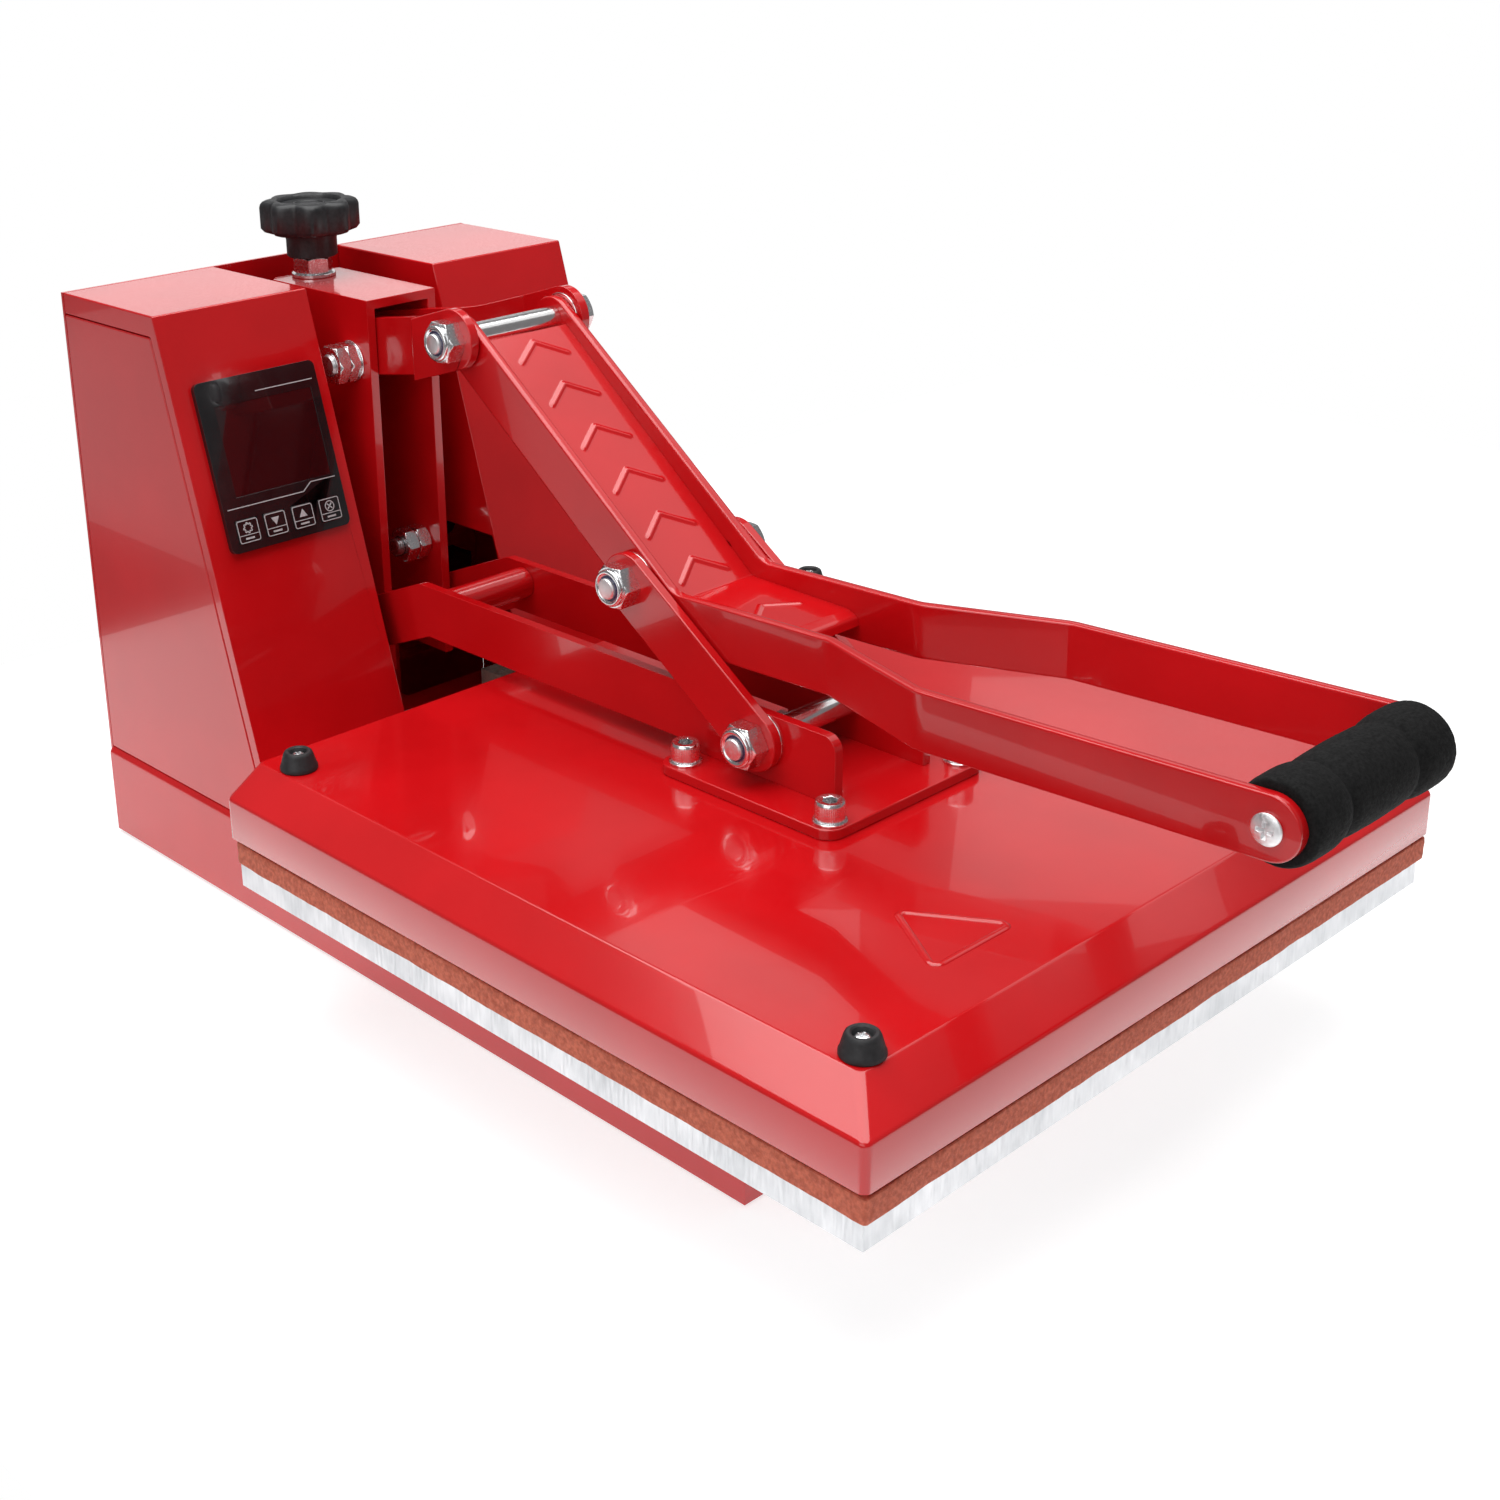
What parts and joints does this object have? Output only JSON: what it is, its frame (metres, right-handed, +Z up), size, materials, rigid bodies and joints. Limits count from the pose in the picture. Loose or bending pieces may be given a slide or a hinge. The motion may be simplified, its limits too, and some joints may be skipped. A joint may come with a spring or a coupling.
{
  "type": "heat press",
  "caption": "Clamshell heat press with square platens, toggle lever with foam grip, twin towers, pressure knob and digital controller.",
  "frame": {"origin": "centre of the closed press's footprint on the bench, at bench level", "axes": "+Z up, -Y towards the operator and the grip, +X to the operator's right"},
  "size_m": [0.386, 0.681, 0.3435],
  "materials": {
    "red_paint": "gloss powder coat",
    "zinc": "bright zinc plate",
    "bronze": "sintered",
    "aluminium": "milled",
    "silicone": "matte foam rubber",
    "black_steel": "satin",
    "rubber": "matte",
    "black_gloss": "gloss",
    "display": "tinted",
    "circuit_board": "satin",
    "pale_plastic": "matte",
    "black_plastic": "moulded",
    "red_plastic": "gloss",
    "machined_steel": "machined",
    "foam": "foam",
    "blanket": "fibre mat",
    "sleeve": "woven sleeve"
  },
  "bodies": {
    "frame": {"base_shell": "red_paint", "base_floor": "black_steel", "feet": "rubber", "tower_left": "red_paint", "tower_right": "red_paint", "side_cover_left": "red_paint", "side_cover_right": "red_paint", "rear_panel": "red_paint", "yoke": "red_paint", "yoke_lock_bolt": "zinc", "rocker_pin": "zinc", "hinge_pin": "zinc", "hinge_bushes": "bronze", "lower_platen": "aluminium", "silicone_pad": "silicone", "platen_rails": "black_steel", "platen_screws": "zinc", "controller_bezel": "black_gloss", "display_window": "display", "controller_board": "circuit_board", "solid_state_relay": "pale_plastic", "terminal_block": "pale_plastic", "power_inlet": "black_plastic", "fuse_holder": "black_plastic", "switch_housing": "black_plastic", "junction_box": "black_plastic"},
    "pressure_screw": {"pressure_knob": "black_plastic", "pressure_spindle": "zinc", "jam_nut": "zinc"},
    "rocker": {"rocker_left": "red_paint", "rocker_right": "red_paint", "trunnion": "machined_steel", "rocker_sleeve": "zinc", "handle_bolt": "zinc"},
    "handle": {"handle_left": "red_paint", "handle_right": "red_paint", "handle_web": "red_paint", "grip_tube": "machined_steel", "grip_foam": "foam", "grip_screws": "zinc", "toggle_studs": "zinc"},
    "head": {"head_arms": "red_paint", "cross_tube": "red_paint", "mounting_plate": "red_paint", "cap_screws": "zinc", "heater_cover": "red_paint", "heating_platen": "aluminium", "heating_element": "machined_steel", "insulation_blanket": "blanket", "thermostat": "pale_plastic", "cover_bumpers": "rubber", "press_bolt": "zinc", "heater_conduit": "sleeve"},
    "links": {"toggle_links": "red_paint", "link_nuts": "zinc"},
    "set_key": {"set_key": "black_gloss"},
    "down_key": {"down_key": "black_gloss"},
    "up_key": {"up_key": "black_gloss"},
    "clear_key": {"clear_key": "black_gloss"},
    "switch_key": {"switch_key": "red_plastic"}
  },
  "joints": [
    {"name": "head_open", "type": "hinge", "parent": "frame", "child": "head", "pos_m": [0, 0.262, 0.111], "axis": [-1, 0, 0], "range_deg": [0, 35]},
    {"name": "rocker_tilt", "type": "hinge", "parent": "frame", "child": "rocker", "pos_m": [0, 0.239, 0.2675], "axis": [1, 0, 0], "range_deg": [-1.61, 1.61]},
    {"name": "pressure_turn", "type": "hinge", "parent": "frame", "child": "pressure_screw", "pos_m": [0, 0.301, 0.325], "axis": [0, 0, -1], "range_deg": [-360, 360]},
    {"name": "handle_lift", "type": "hinge", "parent": "rocker", "child": "handle", "pos_m": [0, 0.1333, 0.2975], "axis": [-1, 0, 0], "range_deg": [0, 92.92]},
    {"name": "link_swing", "type": "hinge", "parent": "head", "child": "links", "pos_m": [0, -0.0651, 0.1478], "axis": [1, 0, 0], "range_deg": [0, 73.03]},
    {"name": "set_key_press", "type": "slide", "parent": "frame", "child": "set_key", "axis": [0, 0.9597, -0.2812], "range_m": [0, 0.0005], "stiffness_N_per_m": 600},
    {"name": "down_key_press", "type": "slide", "parent": "frame", "child": "down_key", "axis": [0, 0.9597, -0.2812], "range_m": [0, 0.0005], "stiffness_N_per_m": 600},
    {"name": "up_key_press", "type": "slide", "parent": "frame", "child": "up_key", "axis": [0, 0.9597, -0.2812], "range_m": [0, 0.0005], "stiffness_N_per_m": 600},
    {"name": "clear_key_press", "type": "slide", "parent": "frame", "child": "clear_key", "axis": [0, 0.9597, -0.2812], "range_m": [0, 0.0005], "stiffness_N_per_m": 600},
    {"name": "switch_rock", "type": "hinge", "parent": "frame", "child": "switch_key", "pos_m": [0.104, 0.334, 0.096], "axis": [-1, 0, 0], "range_deg": [0, 14]}
  ],
  "couplings": [
    {"joint": "handle_lift", "follows": "head_open", "ratio": 2.6543},
    {"joint": "link_swing", "follows": "head_open", "ratio": 2.0861},
    {"joint": "pressure_turn", "follows": "rocker_tilt", "ratio": 222.96}
  ]
}
